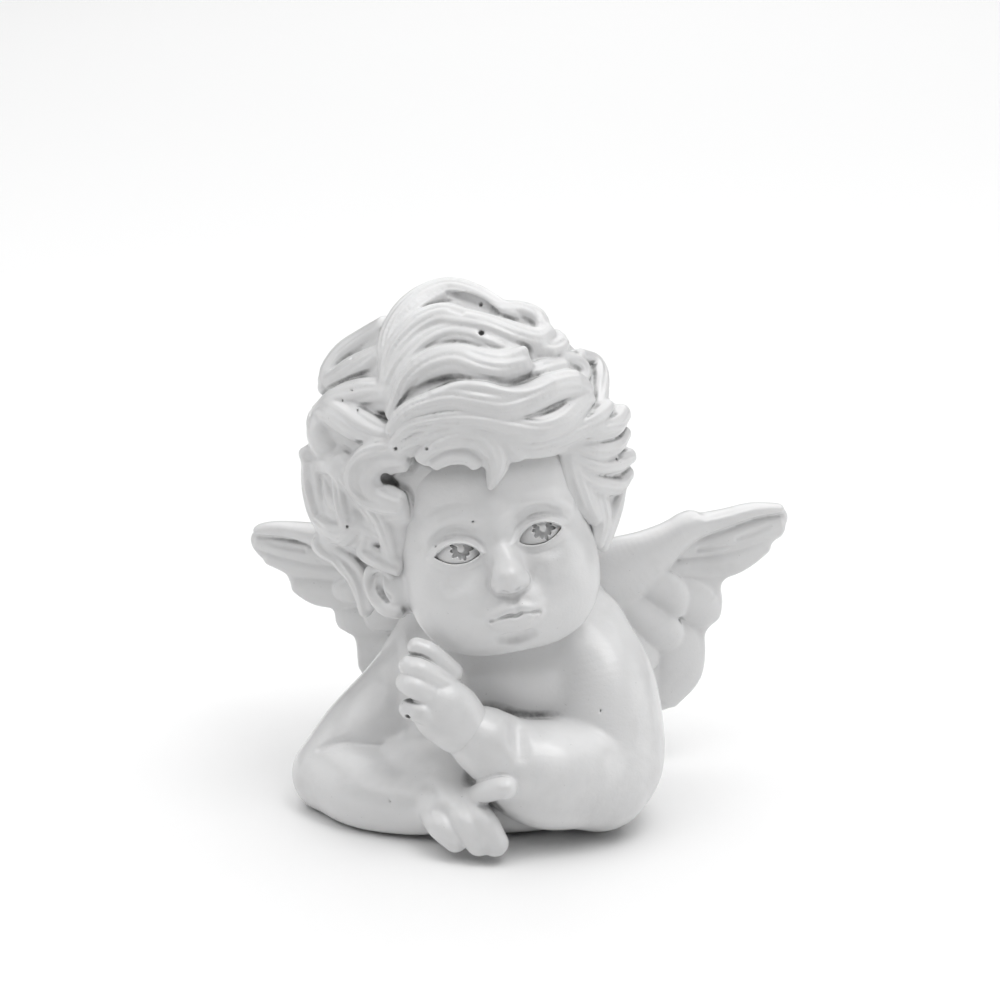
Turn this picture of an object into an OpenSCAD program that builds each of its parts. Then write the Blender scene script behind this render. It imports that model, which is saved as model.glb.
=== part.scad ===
// Cherub bust figurine in cast resin, leaning on its folded arms.
// Millimetres. The origin is the middle of the felt's underside, +Z is up,
// -Y is the way the chest faces and +X is the side of the raised arm.

/* [Figure] */
// Height of the finished figurine
figure_h = 104; // [80:1:160]

/* [Head] */
// Tilt of the crown towards the resting arm, in degrees
head_tilt = 11.5; // [0:0.5:16]
// Lift of the face, in degrees
head_lift = 16; // [8:0.5:20]
// Turn of the face towards the raised arm, in degrees
head_turn = 8; // [0:0.5:14]

/* [Wings] */
// Sweep of each wing behind the shoulders, in degrees
wing_sweep = 14; // [6:1:24]

/* [Joints] */
// Diameter of the dowel in the neck
neck_dowel_d = 5; // [3:0.5:7]
// Diameter of the dowel in each wing root
wing_dowel_d = 3; // [2:0.5:4]
// Diameter of the dowel in the raised wrist
wrist_dowel_d = 2.4; // [1.6:0.2:3]
// Gap for glue around every dowel
glue_gap = 0.05; // [0.02:0.01:0.1]

/* [Base] */
// Thickness of the felt pad
felt_t = 1.2; // [0.8:0.1:2]
// How far the felt stands proud of the resin
felt_proud = 0.5; // [0.3:0.1:0.8]

/* [Hidden] */

// Every size below is drawn for a figurine of this height and scaled to figure_h.
drawn_h = 104;
k = figure_h / drawn_h;

resin = "whitesmoke";
steel = "silver";
felt = "darkseagreen";
plate = 200;

// Facets round a ball, a limb, a finger, a lock of hair and a feather.
ball_sides = 28;
limb_sides = 22;
finger_sides = 10;
lock_sides = 8;
feather_sides = 8;

head_at = [-3, 1, 67];
neck_at = [0, 2, 56];
neck_dowel_l = 24;
wing_dowel_l = 16;
wrist_dowel_l = 12;
left_root = [15.1, 14.2, 42];
right_root = [-11, 17, 37];
wrist_at = [-3.6, -24.5, 23.5];
wrist_turn = [0, -48, 12];
felt_half = 8;
felt_r = 10;

// ---- Points and sweeps ----

function unit(v) = v / norm(v);

// A point at t of a smooth curve through all of the points of p.
function curve_at(p, t) =
    let (n = len(p) - 1, i = min(floor(t * n), n - 1), u = t * n - i,
         p1 = p[i], p2 = p[i + 1],
         p0 = i > 0 ? p[i - 1] : 2 * p1 - p2,
         p3 = i < n - 1 ? p[i + 2] : 2 * p2 - p1)
    0.5 * (2 * p1 + (p2 - p0) * u + (2 * p0 - 5 * p1 + 4 * p2 - p3) * u * u
           + (3 * p1 - p0 - 3 * p2 + p3) * u * u * u);

function direction(points, i) =
    unit(points[min(i + 1, len(points) - 1)] - points[max(i - 1, 0)]);

function ring(centre, along, facing, wide, thick, sides) =
    let (side = unit(cross(along, facing)), out = unit(cross(side, along)))
    [for (j = [0 : sides - 1])
        centre + wide * cos(360 * j / sides) * side + thick * sin(360 * j / sides) * out];

// A round-ended limb along a smooth curve. Each entry of stations is [x, y, z, radius],
// and flat is its thickness as a share of its width, measured along facing.
module limb(stations, facing = [0, 0, 1], flat = 1, sides = limb_sides, steps = 3) {
    n = (len(stations) - 1) * steps;
    line = [for (i = [0 : n]) curve_at(stations, i / n)];
    middle = [for (s = line) [s[0], s[1], s[2]]];
    first = -direction(middle, 0);
    last = direction(middle, n);
    cap = [68, 45, 22];
    starts = [for (a = cap) [middle[0] + first * line[0][3] * flat * sin(a), line[0][3] * cos(a), -first]];
    ends = [for (i = [len(cap) - 1 : -1 : 0])
        [middle[n] + last * line[n][3] * flat * sin(cap[i]), line[n][3] * cos(cap[i]), last]];
    rows = concat(starts, [for (i = [0 : n]) [middle[i], line[i][3], direction(middle, i)]], ends);
    points = [for (r = rows) each ring(r[0], r[2], facing, r[1], r[1] * flat, sides)];
    m = len(rows);
    faces = concat(
        [[for (j = [sides - 1 : -1 : 0]) j]],
        [for (i = [0 : m - 2], j = [0 : sides - 1])
            each [[i * sides + j, (i + 1) * sides + (j + 1) % sides, (i + 1) * sides + j],
                  [i * sides + j, i * sides + (j + 1) % sides, (i + 1) * sides + (j + 1) % sides]]],
        [[for (j = [0 : sides - 1]) (m - 1) * sides + j]]);
    polyhedron(points = points, faces = faces, convexity = 6);
}

module egg(centre, radii, turn = [0, 0, 0], sides = ball_sides)
    translate(centre) rotate(turn) scale(radii) sphere(r = 1, $fn = sides);

// Runs its children together into one moulded skin.
module moulded() resize([0, 0, 0]) union() children();

module dowel(d, l) cylinder(d = d, h = l, center = true, $fn = 48);

module in_head() translate(head_at) rotate([-head_lift, -head_tilt, head_turn]) children();

// ---- Bust: shoulders, chest, both arms and the resting hand ----

module torso_form() {
    egg([2, 3, 22], [25, 18, 27]);
    egg([2, 10, 26], [22, 13, 24]);
    egg([0, -3, 8], [29, 21, 11], [0, 0, 7]);
    egg([1.5, -3, 32], [17, 13, 13]);
    limb([[1.5, 1, 30, 14], [0.5, 0, 40, 12.5], [0, 1, 46, 11]], [0, 1, 0], steps = 2);
}

module raised_arm_form() {
    limb([[17, 1, 34, 9.5], [20, -5, 26, 11], [21, -12, 14, 11.5], [19, -17, 11, 11.5]], [0, 1, 0], steps = 2);
    limb([[19.4, -15.2, 13, 9.7], [9, -20, 12, 10.5], [1, -23, 18, 7.5], [-3.6, -24.5, 23.5, 5.8]], [0, 1, 0], steps = 2);
}

module resting_arm_form() {
    limb([[-12, 7, 33, 9], [-21, 1, 23, 9.8], [-29.5, -5, 11.5, 10.2], [-29.9, -8.5, 9.8, 9.9]], [0, 1, 0], steps = 2);
    limb([[-28.4, -6.6, 10.4, 8.7], [-22, -14, 8.5, 8.6], [-12, -20, 6.5, 6]], [0, 0, 1], steps = 2);
    egg([-6.5, -24, 6.8], [7, 6.4, 4.6], [-12, 0, -40], 16);
}

resting_fingers = [
    [[-8, -24, 7.6, 2.6], [-10.5, -29, 6.2, 2.5], [-11, -31.5, 4, 2.3]],
    [[-5.5, -26, 8, 2.7], [-6.5, -31, 6.6, 2.7], [-6, -33.5, 4, 2.4]],
    [[-3, -25.5, 8.2, 2.9], [-2.4, -31, 7, 2.9], [-1.4, -34, 4.4, 2.7]],
    [[-4, -21, 8, 2.4], [-1.2, -24.5, 10.4, 2.2], [3, -27, 11.6, 1.9]]
];

module bust_form() moulded() {
    torso_form();
    raised_arm_form();
    resting_arm_form();
    for (finger = resting_fingers) limb(finger, [1, 0, 0.2], sides = finger_sides, steps = 1);
}

// A long rounded pad that stays inside the sole of the bust.
module felt_outline() hull() for (side = [-1, 1])
    translate([side * felt_half, 0]) circle(r = felt_r, $fn = 48);

module neck_place() translate(neck_at) children();
module wrist_place() translate(wrist_at) rotate(wrist_turn) children();
module left_place() translate(left_root) rotate([0, 90, wing_sweep]) children();
module right_place() translate(right_root) rotate([0, -90, -wing_sweep]) children();

module neck_bore() neck_place() dowel(neck_dowel_d + 2 * glue_gap, neck_dowel_l + 1);
module wrist_bore() wrist_place() dowel(wrist_dowel_d + 2 * glue_gap, wrist_dowel_l + 1);
module left_bore() left_place() dowel(wing_dowel_d + 2 * glue_gap, wing_dowel_l + 1);
module right_bore() right_place() dowel(wing_dowel_d + 2 * glue_gap, wing_dowel_l + 1);

module bust() color(resin) difference() {
    moulded() difference() {
        bust_form();
        translate([-plate / 2, -plate / 2, felt_proud - plate]) cube(plate);
        raised_hand_form();
    }
    translate([0, 0, felt_proud - 1]) linear_extrude(felt_t - felt_proud + 1) felt_outline();
    neck_bore();
    left_bore();
    right_bore();
    wrist_bore();
}

// ---- Raised hand ----

raised_fingers = [
    [[-8.5, -25.5, 34.5, 2.5], [-11.5, -26.5, 37.4, 2.3], [-14.4, -25, 39.4, 2.1]],
    [[-9.5, -26.5, 32, 2.6], [-13.6, -27.5, 34.2, 2.5], [-16.2, -25.5, 35.6, 2.3]],
    [[-10, -26.5, 29, 2.6], [-14, -27.5, 31, 2.5], [-16.8, -25.5, 32, 2.4]],
    [[-9.5, -26, 26, 2.5], [-12.6, -27, 27.2, 2.3], [-15.4, -25, 27.6, 2.2]],
    [[-5, -22.5, 30, 2.6], [-7, -20, 35, 2.4]]
];

module raised_hand_form() moulded() {
    egg([-8.2, -25.2, 28.6], [6.2, 5, 8], [0, -48, 10], 18);
    egg([-5.4, -24.8, 25.4], [5.4, 5, 4.4], [0, -48, 12], 14);
    for (finger = raised_fingers) limb(finger, [0.2, 1, 0], sides = finger_sides, steps = 1);
}

module raised_hand() color(resin) difference() {
    moulded() difference() {
        raised_hand_form();
        head_form();
    }
    wrist_bore();
}

// ---- Head, in its own frame: face towards -Y and crown towards +Z ----

module face_form() {
    egg([-2, 6, 3], [27, 26, 27]);
    egg([0, -5, -14], [18, 15.5, 18]);
    for (side = [-1, 1]) {
        egg([side * 8.6, -9.6, -21.5], [9.4, 9.4, 9.4], sides = 22);
        egg([side * 19.5, 2, -17], [3, 4.5, 6.5], [0, side * 10, 0], 12);
    }
    egg([0, -13, -30], [6.5, 5.5, 4.8], sides = 14);
    limb([[0, -19, -11, 1.8], [0.2, -20.5, -16, 2.3], [0.4, -22.5, -19.3, 2.9]], [1, 0, 0], 1, finger_sides, 1);
    egg([0.3, -19.8, -28], [4.4, 2.4, 3], sides = 12);
    egg([0, -8, 2], [19.5, 14.5, 16]);
}

// Locks from the parting on the left of the brow, up and over to the right.
crown_locks = [
    [[-13, -17, 6, 3], [-13, -19, 17, 5.5], [-6, -14, 27.5, 7], [4, -9, 28, 6], [13, -7, 21, 4]],
    [[-13, -18, 4, 3], [-9, -21, 13, 5], [1, -21, 19, 5.5], [12, -17, 17.5, 4.5], [19, -12, 16, 3.5]],
    [[-12, -19, 2, 3], [-6, -22, 8, 4.5], [4, -22, 11, 5], [14, -18, 9, 4.5], [21, -12, 10, 3.5]],
    [[-12, -18, 0, 2.4], [-5, -21, 3, 3.2], [2, -22, 3, 3], [5, -21, -2, 1.8]],
    [[-12, 2, 27, 6], [-2, 2, 30.5, 6.5], [7, 2, 26, 6], [15, 2, 16, 5]],
    [[8, -18, 8, 4], [16, -15, 6, 4.5], [23, -9, 4, 5], [24.5, -5, -4, 3.8]],
    [[12, -12, 16, 4], [20, -7, 13, 5.5], [25.5, -2, 7, 4.5]]
];

// Curls down each side of the face and round the nape.
side_curls = [
    [[-15, -13, 10, 4], [-22, -8, 15, 6], [-29, -2, 10, 5], [-29, -5, 2, 3.5]],
    [[-15, -13, 1, 3.5], [-22, -10, 5, 5], [-28, -4, -2, 5], [-25, -8, -9, 3.4]],
    [[-18, -12, -6, 3], [-23, -7, -4, 4.5], [-26, -2, -12, 4.5], [-22, -3, -19, 3]],
    [[-17, 3, 20, 6], [-25, 4, 16, 7], [-28, 6, 2, 6.5], [-27, 4, -10, 4.5]],
    [[16, 0, 18, 6], [22, 3, 9, 6], [23, 3, -5, 5.5], [20, -2, -14, 3.5]],
    [[17, -11, 0, 3], [21, -6, -4, 4.5], [21, -3, -12, 3.5], [19, -4, -18, 2.5]],
    [[-14, 16, 18, 7], [-20, 20, 4, 7], [-18, 19, -10, 5.5], [-12, 16, -19, 4]],
    [[0, 20, 18, 8], [0, 27, 4, 7], [-1, 25, -12, 6], [1, 18, -21, 4]],
    [[12, 15, 17, 7], [17, 19, 4, 7], [16, 18, -9, 5.5], [12, 14, -18, 4]],
    [[-22, 8, 6, 6], [-25, 11, -6, 5.5], [-21, 12, -16, 4]]
];

module head_form() in_head() moulded() {
    face_form();
    for (lock = crown_locks) limb(lock, [0, 1, 0.3], 0.8, lock_sides, 2);
    for (curl = side_curls) limb(curl, [0.3, 0, 1], 0.85, lock_sides, 2);
}

module head() color(resin) difference() {
    moulded() difference() {
        head_form();
        bust_form();
    }
    neck_bore();
}

// ---- Wings, in their own frame: +X outwards from the root and +Z up ----

arm_line = [[0, 0, 0, 4.6], [9, 0, 5.5, 4.2], [20, 0, 9.4, 3.2], [31, 0, 10.4, 2.4], [41, 0, 9.6, 1.8]];

long_feathers = [
    [[6, 1, 2, 4], [22, 1, 6, 5], [40, 1.5, 7, 3]],
    [[6, 1, 0, 4], [22, 1, 2.5, 5], [37, 1.5, 2, 3]],
    [[6, 1, -3, 4], [18, 1, -1, 5], [30, 1.5, -3, 3.4]],
    [[5, 1, -6, 5], [15, 1, -8, 6], [24, 1.5, -12, 5.6]],
    [[3, 1, -9, 5], [11, 1, -17, 7.5], [18, 1.5, -24, 7]],
    [[1, 1, -12, 5], [6, 1, -20, 6.5], [11, 1.5, -28, 5.5]]
];

short_feathers = [
    [[1, -1.2, 0, 4], [10, -1.4, -3, 5], [18, -1, -9, 4.6]],
    [[0, -1.2, -3, 4], [7, -1.4, -8, 5], [14, -1, -15, 4.8]],
    [[0, -1.2, -6, 4], [4, -1.4, -13, 5], [8, -1, -20, 4.6]]
];

module wing_form() moulded() {
    limb(arm_line, [0, 1, 0], 0.85, finger_sides, 1);
    for (i = [0 : len(long_feathers) - 1]) translate([0, 0.15 * i, 0])
        limb(long_feathers[i], [0, 1, 0], 0.42, feather_sides, 2);
    for (i = [0 : len(short_feathers) - 1]) translate([0, 0.195 * i, 0])
        limb(short_feathers[i], [0, 1, 0], 0.5, feather_sides, 2);
}

module left_wing_form() translate(left_root) rotate([0, 0, wing_sweep]) wing_form();
module right_wing_form() translate(right_root) mirror([1, 0, 0]) rotate([0, 0, wing_sweep]) wing_form();

module left_wing() color(resin) difference() {
    moulded() difference() {
        left_wing_form();
        bust_form();
        head_form();
    }
    left_bore();
}

module right_wing() color(resin) difference() {
    moulded() difference() {
        right_wing_form();
        bust_form();
        head_form();
    }
    right_bore();
}

// ---- Dowels and felt ----

module neck_dowel() color(steel) neck_place() dowel(neck_dowel_d, neck_dowel_l);
module left_wing_dowel() color(steel) left_place() dowel(wing_dowel_d, wing_dowel_l);
module right_wing_dowel() color(steel) right_place() dowel(wing_dowel_d, wing_dowel_l);
module wrist_dowel() color(steel) wrist_place() dowel(wrist_dowel_d, wrist_dowel_l);
module felt_pad() color(felt) linear_extrude(felt_t) felt_outline();

scale(k) bust();
scale(k) head();
scale(k) raised_hand();
scale(k) left_wing();
scale(k) right_wing();
scale(k) neck_dowel();
scale(k) left_wing_dowel();
scale(k) right_wing_dowel();
scale(k) wrist_dowel();
scale(k) felt_pad();
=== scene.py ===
import math

import bpy
import numpy as np
from mathutils import Matrix, Vector


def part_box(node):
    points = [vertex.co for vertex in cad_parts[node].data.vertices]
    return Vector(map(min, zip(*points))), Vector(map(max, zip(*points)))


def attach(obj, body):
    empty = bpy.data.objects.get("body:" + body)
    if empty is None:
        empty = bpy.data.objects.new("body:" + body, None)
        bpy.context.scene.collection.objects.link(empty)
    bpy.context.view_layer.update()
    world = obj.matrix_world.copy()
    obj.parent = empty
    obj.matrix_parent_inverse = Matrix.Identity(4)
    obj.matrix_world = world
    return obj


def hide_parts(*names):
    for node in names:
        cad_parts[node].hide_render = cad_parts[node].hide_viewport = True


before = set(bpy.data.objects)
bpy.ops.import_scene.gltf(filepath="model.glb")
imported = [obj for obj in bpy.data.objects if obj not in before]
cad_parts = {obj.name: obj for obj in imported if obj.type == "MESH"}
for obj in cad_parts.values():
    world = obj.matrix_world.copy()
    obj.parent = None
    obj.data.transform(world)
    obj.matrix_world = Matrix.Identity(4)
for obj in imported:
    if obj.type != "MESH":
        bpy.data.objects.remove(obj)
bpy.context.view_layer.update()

# Every shape below is drawn in millimetres for a figurine whose felt pad is FELT_LENGTH
# long, then scaled to the frame.
FELT_LENGTH = 36.0
MM = (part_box("felt_pad")[1].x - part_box("felt_pad")[0].x) / FELT_LENGTH
FELT_HALF, FELT_END, FELT_THICK = 8.0, 10.0, 1.2
# signed distance of empty clay, and how far past its skin a shape is worked out
FAR = 8.0
MARGIN, LOCK_MARGIN = 1.5, 1.2
LOCK_STEP = 1.1
# a skin that ends at its block's edge is tucked in by TUCK_DEEP over the last TUCK_WIDE
TUCK_WIDE, TUCK_DEEP = 1.5, 0.2


# ---- Clay: signed distances on a grid, built up and cut away like a sculptor's block ----

def unit(v):
    return v / np.maximum(np.linalg.norm(v, axis=-1, keepdims=True), 1e-9)


def turn_matrix(turn):
    """Degrees about X, then Y, then Z, as the CAD source turns things."""
    x, y, z = (math.radians(t) for t in turn)
    return np.array(Matrix.Rotation(z, 3, "Z") @ Matrix.Rotation(y, 3, "Y") @ Matrix.Rotation(x, 3, "X"))


def smooth_min(a, b, soft):
    if soft <= 0:
        return np.minimum(a, b)
    h = np.maximum(soft - np.abs(a - b), 0) / soft
    return np.minimum(a, b) - h * h * soft / 4


def spline(p, i, t):
    """Points of the smooth curve through the stations p, at the shares t of the way from i to i + 1."""
    return 0.5 * (2 * p[i] + (p[i + 1] - p[i - 1]) * t
                  + (2 * p[i - 1] - 5 * p[i] + 4 * p[i + 1] - p[i + 2]) * t ** 2
                  + (3 * p[i] - p[i - 1] - 3 * p[i + 1] + p[i + 2]) * t ** 3)


def curve(stations, step):
    """Points every step along a smooth curve through the stations, with their sizes."""
    p = np.array(stations, float)
    p = np.vstack([2 * p[0] - p[1], p, 2 * p[-1] - p[-2]])
    out = []
    for i in range(1, len(p) - 2):
        n = max(2, int(np.linalg.norm(p[i + 1, :3] - p[i, :3]) / step))
        out.append(spline(p, i, (np.arange(n) / n)[:, None]))
    out = np.vstack(out + [p[-2][None]])
    out[:, 3:] = np.maximum(out[:, 3:], 0.05)
    return out


def share_along(q, along):
    """How far along a segment the points q, measured from its start, lie: 0 at the start, 1 at the end."""
    dot = q[0] * along[0] + q[1] * along[1] + q[2] * along[2]
    return np.clip(dot / max(float(along[:3] @ along[:3]), 1e-6), 0, 1)


class Clay:
    def __init__(self, low, high, cell):
        self.low, self.high, self.cell = np.array(low, float), np.array(high, float), cell
        counts = np.ceil((np.array(high, float) - self.low) / cell).astype(int) + 1
        self.axes = [(low[i] + cell * np.arange(counts[i])).astype(np.float32) for i in range(3)]
        self.d = np.full(counts, FAR, np.float32)

    def window(self, low, high):
        """The slices of the grid that cover a box, and the coordinates in it."""
        cut = []
        for i in range(3):
            a = int((low[i] - self.low[i]) / self.cell)
            b = int((high[i] - self.low[i]) / self.cell) + 2
            n = len(self.axes[i])
            a, b = min(max(a, 0), n), min(max(b, 0), n)
            cut.append(slice(a, max(a, b)))
        x, y, z = (self.axes[i][cut[i]] for i in range(3))
        return tuple(cut), x[:, None, None], y[None, :, None], z[None, None, :]

    def merge(self, cut, d, soft, how="add"):
        old = self.d[cut]
        if old.size == 0:
            return
        if how == "add":
            self.d[cut] = smooth_min(old, d, soft)
        elif how == "cut":
            self.d[cut] = -smooth_min(-old, d, soft)
        else:
            self.d[cut] = -smooth_min(-old, -d, soft)

    def egg(self, centre, radii, turn=(0, 0, 0), soft=2.0, how="add"):
        r = np.array(radii, np.float32)
        m = turn_matrix(turn)
        reach = np.sqrt(((m * r) ** 2).sum(1)) + soft + MARGIN
        c = np.array(centre, float)
        cut, x, y, z = self.window(c - reach, c + reach)
        x, y, z = x - np.float32(c[0]), y - np.float32(c[1]), z - np.float32(c[2])
        m = m.astype(np.float32)
        q = [(x * m[0, i] + y * m[1, i] + z * m[2, i]) / r[i] for i in range(3)]
        k0 = np.sqrt(q[0] ** 2 + q[1] ** 2 + q[2] ** 2)
        k1 = np.sqrt((q[0] / r[0]) ** 2 + (q[1] / r[1]) ** 2 + (q[2] / r[2]) ** 2)
        self.merge(cut, k0 * (k0 - 1) / np.maximum(k1, 1e-6), soft, how)

    def limb(self, stations, soft=2.0, how="add", step=1.0):
        """A round limb through [x, y, z, radius] stations."""
        s = curve(stations, step)
        reach = s[:, 3].max() + soft + MARGIN
        cut, x, y, z = self.window(s[:, :3].min(0) - reach, s[:, :3].max(0) + reach)
        d = np.full(self.d[cut].shape, 3 * FAR, np.float32)
        if d.size == 0:
            return
        for a, b in zip(s[:-1], s[1:]):
            r = max(a[3], b[3]) + soft + MARGIN
            low, high = np.minimum(a[:3], b[:3]) - r, np.maximum(a[:3], b[:3]) + r
            part, px, py, pz = self.window(low, high)
            inner = tuple(slice(p.start - c.start, p.stop - c.start) for p, c in zip(part, cut))
            along = (b - a).astype(np.float32)
            q = [px - np.float32(a[0]), py - np.float32(a[1]), pz - np.float32(a[2])]
            t = share_along(q, along)
            q = [q[k] - t * along[k] for k in range(3)]
            far = np.sqrt(q[0] ** 2 + q[1] ** 2 + q[2] ** 2)
            d[inner] = np.minimum(d[inner], far - (np.float32(a[3]) + t * along[3]))
        self.merge(cut, d, soft, how)

    def lock(self, stations, outward, soft, strands=1, groove=0.0, phase=0.0):
        """A flattened strand through [x, y, z, half width, half height] stations, grooved lengthwise.
        outward gives the direction of the height at each point."""
        step = LOCK_STEP
        s = curve(stations, step)
        mid = s[:, :3]
        along = unit(np.gradient(mid, axis=0))
        out = outward(mid)
        out = unit(out - (out * along).sum(1, keepdims=True) * along)
        side = np.cross(along, out)
        reach = s[:, 3:].max() + soft + LOCK_MARGIN
        cut, x, y, z = self.window(mid.min(0) - reach, mid.max(0) + reach)
        d = np.full(self.d[cut].shape, 3 * FAR, np.float32)
        if d.size == 0:
            return
        s, along, out, side = (v.astype(np.float32) for v in (s, along, out, side))
        n = len(s)
        run = np.arange(n) * step
        ends = np.minimum(1, (run[-1] - run) / 5.0 + 0.2)
        fade = (np.minimum(1, run / 3.0) * (0.45 + 0.55 * np.exp(-run / 14)) * ends).astype(np.float32)
        for i in range(n - 1):
            a, b = s[i], s[i + 1]
            r = max(a[3:].max(), b[3:].max()) + soft + LOCK_MARGIN
            low, high = np.minimum(a[:3], b[:3]) - r, np.maximum(a[:3], b[:3]) + r
            part, px, py, pz = self.window(low, high)
            inner = tuple(slice(p.start - c.start, p.stop - c.start) for p, c in zip(part, cut))
            if self.d[part].size == 0:
                continue
            step_v = b[:3] - a[:3]
            q = [px - a[0], py - a[1], pz - a[2]]
            t = share_along(q, step_v)
            q = [q[j] - t * step_v[j] for j in range(3)]

            def across(v0, v1):
                return sum(q[j] * (v0[j] + t * (v1[j] - v0[j])) for j in range(3))

            u, v, w = across(side[i], side[i + 1]), across(out[i], out[i + 1]), across(along[i], along[i + 1])
            wide, high_ = a[3] + t * (b[3] - a[3]), a[4] + t * (b[4] - a[4])
            e = np.minimum(wide, high_)
            u1, v1, w1 = u / wide, v / high_, w / e
            k0 = np.sqrt(u1 * u1 + v1 * v1 + w1 * w1)
            k1 = np.sqrt((u1 / wide) ** 2 + (v1 / high_) ** 2 + (w1 / e) ** 2)
            far = k0 * (k0 - 1) / np.maximum(k1, 1e-6)
            if strands > 1:
                swing = phase + 0.3 * np.sin(0.3 * (i + t) * step + 7 * phase)
                ridge = np.abs(np.sin(math.pi * (strands * (np.clip(u1, -1, 1) + 1) / 2 + swing)))
                deep = groove * (fade[i] + t * (fade[i + 1] - fade[i])) * (1 - ridge) ** 1.3
                far = far + deep * np.clip(v1 * 1.5 + 0.9, 0, 1)
            d[inner] = np.minimum(d[inner], far)
        self.merge(cut, d, soft)

    def sample(self, p):
        """Signed distance at points p, read between the grid's nodes."""
        g = (p - self.low) / self.cell
        top = np.array(self.d.shape) - 2
        i = np.clip(np.floor(g).astype(int), 0, top)
        f = np.clip(g - i, 0, 1).astype(np.float32)
        total = np.zeros(len(p), np.float32)
        for dx in (0, 1):
            for dy in (0, 1):
                for dz in (0, 1):
                    weight = np.abs(1 - dx - f[:, 0]) * np.abs(1 - dy - f[:, 1]) * np.abs(1 - dz - f[:, 2])
                    total += weight * self.d[i[:, 0] + dx, i[:, 1] + dy, i[:, 2] + dz]
        return total

    def skin(self):
        """Quads over the zero surface, one vertex a crossed cell."""
        d = self.d
        for i in range(3):
            edge = [slice(None)] * 3
            for k in (0, -1):
                edge[i] = k
                d[tuple(edge)] = np.maximum(d[tuple(edge)], 0.1)
        inside = d < 0
        count = np.zeros(tuple(n - 1 for n in d.shape), np.int8)
        corners = [(x, y, z) for x in (0, 1) for y in (0, 1) for z in (0, 1)]
        for x, y, z in corners:
            count += inside[x:x + count.shape[0], y:y + count.shape[1], z:z + count.shape[2]]
        cell = np.argwhere((count > 0) & (count < 8))
        index = np.full(count.shape, -1, np.int32)
        index[tuple(cell.T)] = np.arange(len(cell))
        value = {c: d[cell[:, 0] + c[0], cell[:, 1] + c[1], cell[:, 2] + c[2]] for c in corners}
        total, hits = np.zeros((len(cell), 3), np.float32), np.zeros((len(cell), 1), np.float32)
        for c in corners:
            for axis in range(3):
                if c[axis]:
                    continue
                other = tuple(v + (k == axis) for k, v in enumerate(c))
                a, b = value[c], value[other]
                crossed = (a < 0) != (b < 0)
                t = np.where(crossed, a / np.where(crossed, a - b, 1), 0)
                point = np.tile(np.array(c, np.float32), (len(cell), 1))
                point[:, axis] += t
                total += point * crossed[:, None]
                hits += crossed[:, None]
        verts = (cell + total / hits) * self.cell + self.low
        faces = []
        for axis in range(3):
            u, v = (axis + 1) % 3, (axis + 2) % 3
            low = [slice(1, -1)] * 3
            low[axis] = slice(0, -1)
            high = list(low)
            high[axis] = slice(1, None)
            a, b = inside[tuple(low)], inside[tuple(high)]
            for flip, where in ((False, a & ~b), (True, ~a & b)):
                at = np.argwhere(where)
                at[:, u] += 1
                at[:, v] += 1
                ring = []
                for du, dv in ((0, 0), (-1, 0), (-1, -1), (0, -1)):
                    q = at.copy()
                    q[:, u] += du
                    q[:, v] += dv
                    ring.append(index[tuple(q.T)])
                quad = np.stack(ring, 1)
                faces.append(quad[:, ::-1] if flip else quad)
        return verts, np.vstack(faces)

    def cavity(self, p, normal, reach):
        """0 on open ground up to 1 in the bottom of a crease about as deep as reach."""
        near = self.sample(p + normal * reach) / reach
        wide = self.sample(p + normal * 2.2 * reach) / (2.2 * reach)
        return np.clip(1 - 0.5 * near - 0.5 * wide, 0, 1)


def relax(verts, faces, rounds, keep=0.5):
    """Evens out the skin without shrinking it."""
    a = np.concatenate([faces[:, i] for i in range(4)] + [faces[:, (i + 1) % 4] for i in range(4)])
    b = np.concatenate([faces[:, (i + 1) % 4] for i in range(4)] + [faces[:, i] for i in range(4)])
    n = len(verts)
    degree = np.bincount(a, minlength=n)[:, None]
    for _ in range(rounds):
        for factor in (keep, -keep * 1.04):
            mean = np.stack([np.bincount(a, verts[b, k], n) for k in range(3)], 1) / degree
            verts = verts + factor * (mean - verts)
    return verts


def vertex_normals(verts, faces):
    n = np.cross(verts[faces[:, 2]] - verts[faces[:, 0]], verts[faces[:, 3]] - verts[faces[:, 1]])
    total = np.stack([np.bincount(faces.ravel(), np.repeat(n[:, k], 4), len(verts)) for k in range(3)], 1)
    return unit(total)


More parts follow.
